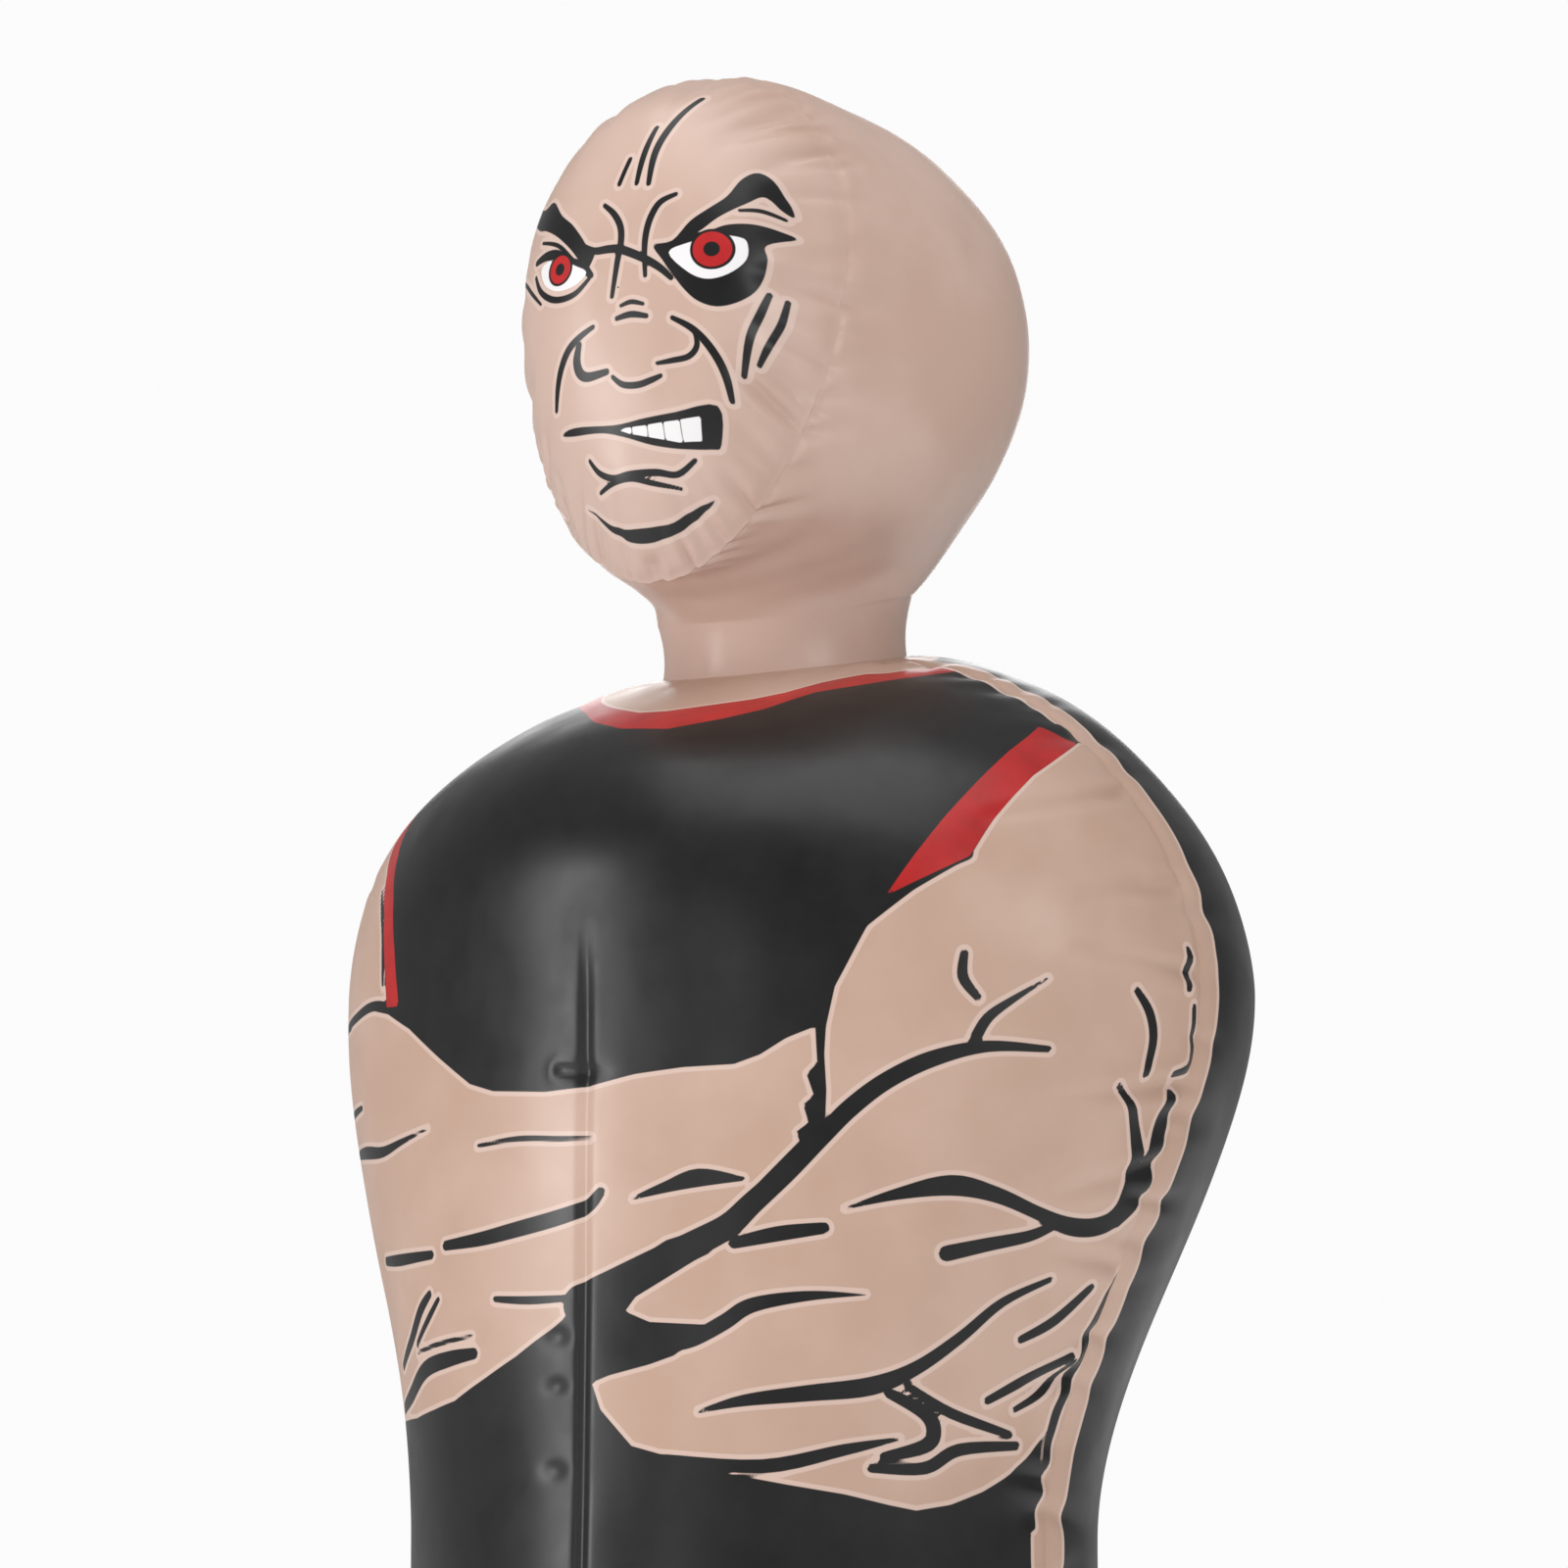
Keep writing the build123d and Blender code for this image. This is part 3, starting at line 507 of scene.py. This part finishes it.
def make_base():
    turn = np.linspace(0, 360, 360, endpoint=False)[None, ::-1]
    z = np.linspace(BASE_SEAM_Z, BASE_TOP_Z, 70)[:, None]
    wall = body_points(np.minimum(z, 249.99) + 0 * turn, turn + 0 * z)
    n = normals(wall)
    n[:, 0], n[:, -1] = n[:, 1], n[:, -2]
    around = np.radians(turn) * 230 + 0 * z
    lift = puckers(around, z - BASE_SEAM_Z + 0 * turn, 2 * np.pi * 230, 41, 1, pitch=26, depth=2.8, reach=24, valley=0)
    lift = 0.5 - lift * 0.8 + waves(wall, 43, 120, 0.5)
    port = eased((np.hypot(wall[..., 0], wall[..., 2] - PORT_Z) - 42) / 30) + (wall[..., 1] < 0)
    top = eased((BASE_TOP_Z - z) / 25)
    side = wall + n * (lift * np.minimum(port, 1) * top * eased((z - BASE_SEAM_Z) / 3))[..., None]
    side_film = grid_piece("base_side_film", side, closed=True, hole=(PORT_Z, 19.0), black=np.full(side.shape[:2], -NO_INK))
    run = BASE_SEAM_RADIUS - FOOT_RADIUS
    bend = (run**2 + BASE_SEAM_Z**2) / (2 * BASE_SEAM_Z)
    full = np.arccos((bend - BASE_SEAM_Z) / bend)
    arc = np.linspace(0, full, 40)
    radius = np.concatenate([np.linspace(0.5, FOOT_RADIUS, 30)[:-1], FOOT_RADIUS + bend * np.sin(arc)])[:, None]
    height = np.concatenate([np.zeros(29), bend * (1 - np.cos(arc))])[:, None]
    s, c = np.sin(np.radians(turn)), np.cos(np.radians(turn))
    bottom = np.stack([radius * s, radius * c, height + 0 * s], -1)
    gap = (BASE_SEAM_Z - height) + 0 * s
    lift = puckers(np.radians(turn) * 230 + 0 * radius, gap, 2 * np.pi * 230, 41, 2, pitch=26, depth=2.8, reach=24, valley=0)
    bottom[..., :2] *= (1 - 0.8 * lift * eased(height / 30) * eased(gap / 3) / 230)[..., None]
    bottom_film = grid_piece("base_bottom_film", bottom, closed=True, black=np.full(bottom.shape[:2], -NO_INK))
    return side_film, bottom_film


# ---------------------------------------------------------------- materials
class Nodes:
    def __init__(self, name):
        self.material = bpy.data.materials.new(name)
        self.material.use_nodes = True
        self.tree = self.material.node_tree
        self.shader = self.tree.nodes["Principled BSDF"]
        self.coords = self.add("ShaderNodeTexCoord").outputs["Object"]

    def add(self, kind):
        return self.tree.nodes.new(kind)

    def link(self, start, end):
        self.tree.links.new(start, end)

    def noise(self, scale, detail=3.0, rough=0.55, stretch=None):
        node = self.add("ShaderNodeTexNoise")
        node.inputs["Scale"].default_value = scale
        node.inputs["Detail"].default_value = detail
        node.inputs["Roughness"].default_value = rough
        source = self.coords
        if stretch:
            mapping = self.add("ShaderNodeMapping")
            mapping.inputs["Scale"].default_value = stretch
            self.link(self.coords, mapping.inputs["Vector"])
            source = mapping.outputs["Vector"]
        self.link(source, node.inputs["Vector"])
        return node.outputs["Fac"]

    def ranged(self, source, low, high, out_low, out_high, smooth=False):
        node = self.add("ShaderNodeMapRange")
        node.interpolation_type = "SMOOTHSTEP" if smooth else "LINEAR"
        for key, value in (("From Min", low), ("From Max", high), ("To Min", out_low), ("To Max", out_high)):
            node.inputs[key].default_value = value
        self.link(source, node.inputs["Value"])
        return node.outputs["Result"]

    def mixed(self, fac, a, b):
        node = self.add("ShaderNodeMix")
        node.data_type = "RGBA"
        self.link(fac, node.inputs[0])
        for socket, value in ((node.inputs[6], a), (node.inputs[7], b)):
            if isinstance(value, tuple):
                socket.default_value = (*value, 1.0)
            else:
                self.link(value, socket)
        return node.outputs[2]

    def field(self, name):
        node = self.add("ShaderNodeAttribute")
        node.attribute_name = name
        return node.outputs["Fac"]

    def product(self, a, b):
        node = self.add("ShaderNodeMath")
        node.operation = "MULTIPLY"
        self.link(a, node.inputs[0])
        self.link(b, node.inputs[1])
        return node.outputs[0]

    def bump(self, source, strength, distance, after=None):
        node = self.add("ShaderNodeBump")
        node.inputs["Strength"].default_value = strength
        node.inputs["Distance"].default_value = distance
        self.link(source, node.inputs["Height"])
        if after is not None:
            self.link(after, node.inputs["Normal"])
        return node.outputs["Normal"]


def shade(red, green, blue):
    """Linear colour of an sRGB one."""
    return tuple((c / 255 / 12.92) if c / 255 <= 0.04045 else ((c / 255 + 0.055) / 1.055) ** 2.4 for c in (red, green, blue))


def film_surface(n, gloss):
    n.link(n.ranged(n.noise(22, 4), 0.3, 0.7, gloss - 0.05, gloss + 0.07), n.shader.inputs["Roughness"])
    soft = n.bump(n.noise(14, 2, stretch=(1, 1, 0.45)), 0.35, 0.0016)
    fine = n.bump(n.noise(420, 3), 0.10, 0.00012, soft)
    n.link(fine, n.shader.inputs["Normal"])
    n.shader.inputs["IOR"].default_value = 1.5
    n.shader.inputs["Specular IOR Level"].default_value = 0.4


def printed(name, warm, second):
    """Flesh film printed in black, one more colour and white. The inks' edges come from the mesh."""
    n = Nodes(name)
    light, dark = shade(*warm), shade(warm[0] - 9, warm[1] - 11, warm[2] - 13)
    base = n.mixed(n.ranged(n.noise(9, 4), 0.35, 0.65, 0, 1, True), light, dark)
    black = n.field("black")
    halo = n.product(n.ranged(black, -3.0, -2.3, 0, 0.55, True), n.ranged(black, -30, -29, 0, 1))
    base = n.mixed(halo, base, shade(228, 204, 193))
    ink = n.mixed(n.ranged(n.noise(60, 3), 0.35, 0.65, 0, 1), shade(15, 15, 16), shade(21, 21, 22))
    colour = n.mixed(n.ranged(black, -0.35, 0.35, 0, 1, True), base, ink)
    tint = n.mixed(n.ranged(n.noise(40, 3), 0.35, 0.65, 0, 1), shade(*second), shade(*(int(c * 0.9) for c in second)))
    colour = n.mixed(n.ranged(n.field("red"), -0.35, 0.35, 0, 1, True), colour, tint)
    colour = n.mixed(n.ranged(n.field("white"), -0.3, 0.3, 0, 1, True), colour, shade(240, 238, 238))
    n.link(colour, n.shader.inputs["Base Color"])
    film_surface(n, 0.33)
    return n.material


def black_film(name):
    n = Nodes(name)
    n.link(n.mixed(n.ranged(n.noise(18, 4), 0.35, 0.65, 0, 1), shade(16, 16, 17), shade(23, 23, 24)), n.shader.inputs["Base Color"])
    film_surface(n, 0.3)
    return n.material


def clear_pvc(name, tone, transmission):
    n = Nodes(name)
    n.link(n.mixed(n.ranged(n.noise(60, 3), 0.3, 0.7, 0, 1), shade(*tone), shade(*(int(c * 0.94) for c in tone))), n.shader.inputs["Base Color"])
    n.link(n.ranged(n.noise(80, 3), 0.3, 0.7, 0.18, 0.32), n.shader.inputs["Roughness"])
    n.link(n.bump(n.noise(300, 2), 0.15, 0.0002), n.shader.inputs["Normal"])
    n.shader.inputs["Transmission Weight"].default_value = transmission
    n.shader.inputs["IOR"].default_value = 1.5
    return n.material


# ---------------------------------------------------------------- pieces on the frame
torso_front, torso_back, face, head = make_torso_front(), make_torso_back(), make_face(), make_head()
base_side, base_bottom = make_base()
body_print = printed("body_print", (203, 172, 155), (189, 31, 31))
face_print = printed("face_print", (209, 180, 166), (196, 34, 36))
plain_black = black_film("plain_black_film")
clear = clear_pvc("clear_pvc_moulding", (226, 230, 226), 0.55)
thin = clear_pvc("clear_pvc_film", (214, 222, 220), 0.7)
water = clear_pvc("still_water", (205, 222, 226), 0.95)
for piece, material in ((torso_front, body_print), (torso_back, body_print), (face, face_print), (head, face_print),
                        (base_side, plain_black), (base_bottom, plain_black)):
    piece.data.materials.append(material)
for name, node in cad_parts.items():
    if name == "base_weld_ring":
        look = plain_black
    elif name.startswith(("water_p", "air_")):
        look = clear
    elif name == "ballast_divider":
        look = thin
    elif name == "ballast_water":
        look = water
    else:
        look = face_print
    for i in range(len(node.data.materials)):
        node.data.materials[i] = look

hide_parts("torso_front_panel", "column_film", "side_weld_left", "side_weld_right")
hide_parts("torso_back_panel")
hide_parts("face_panel", "face_weld_ring")
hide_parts("head_shell_left", "head_shell_right", "neck_film")
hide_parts("base_side_panel", "base_weld_ring")
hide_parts("base_bottom_panel")
for film in (torso_front, torso_back):
    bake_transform(film)
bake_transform(head)
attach(face, "head")
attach(base_side, "base")
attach(base_bottom, "base")


# ---------------------------------------------------------------- studio
def lamp(name, place, target, size, power, tall=None):
    data = bpy.data.lights.new(name, "AREA")
    data.energy = power
    data.size = size
    if tall:
        data.shape = "RECTANGLE"
        data.size_y = tall
    light = bpy.data.objects.new(name, data)
    bpy.context.scene.collection.objects.link(light)
    light.location = place
    light.rotation_euler = (Vector(target) - Vector(place)).to_track_quat("-Z", "Y").to_euler()
    return light


floor_mesh = bpy.data.meshes.new("floor")
floor_mesh.from_pydata([(-9, -9, -0.0005), (9, -9, -0.0005), (9, 9, -0.0005), (-9, 9, -0.0005)], [], [(0, 1, 2, 3)])
floor = bpy.data.objects.new("floor", floor_mesh)
bpy.context.scene.collection.objects.link(floor)
paper = Nodes("paper")
paper.link(paper.mixed(paper.ranged(paper.noise(3, 3), 0.3, 0.7, 0, 1), (0.86, 0.86, 0.86), (0.82, 0.82, 0.82)), paper.shader.inputs["Base Color"])
paper.shader.inputs["Roughness"].default_value = 0.8
paper.shader.inputs["Emission Color"].default_value = (1, 1, 1, 1)
paper.shader.inputs["Emission Strength"].default_value = 0.4
floor_mesh.materials.append(paper.material)

world = bpy.context.scene.world or bpy.data.worlds.new("studio")
bpy.context.scene.world = world
world.use_nodes = True
world.node_tree.nodes["Background"].inputs["Color"].default_value = (1, 1, 1, 1)
sky = world.node_tree.nodes["Background"]
seen = world.node_tree.nodes.new("ShaderNodeLightPath")
level = world.node_tree.nodes.new("ShaderNodeMapRange")
level.inputs["To Min"].default_value = 0.34
level.inputs["To Max"].default_value = 0.97
world.node_tree.links.new(seen.outputs["Is Camera Ray"], level.inputs["Value"])
world.node_tree.links.new(level.outputs["Result"], sky.inputs["Strength"])
lamp("tall_left", (-1.75, -2.35, 1.25), (0, 0, 1.0), 0.3, 26, tall=1.7)
lamp("thin_front", (-0.2, -3.1, 1.0), (0, 0, 1.0), 0.12, 3, tall=1.0)
lamp("wide_right", (3.0, -1.6, 2.1), (0, 0, 1.1), 1.6, 26, tall=1.6)
lamp("top", (0.2, -0.8, 3.4), (0, 0, 1.0), 2.4, 34)
lamp("back", (-1.6, 2.6, 2.0), (0, 0, 1.0), 1.5, 20)
bpy.context.scene.view_settings.view_transform = "Standard"

camera_data = bpy.data.cameras.new("camera")
camera = bpy.data.objects.new("camera", camera_data)
bpy.context.scene.collection.objects.link(camera)
bpy.context.scene.camera = camera
swing = np.radians(32)
camera.location = (3.0 * np.sin(swing), -3.0 * np.cos(swing), 0.8)
camera.rotation_euler = (np.radians(90 + 6.98), 0, swing)
camera_data.sensor_width = 36
camera_data.lens = 116.8
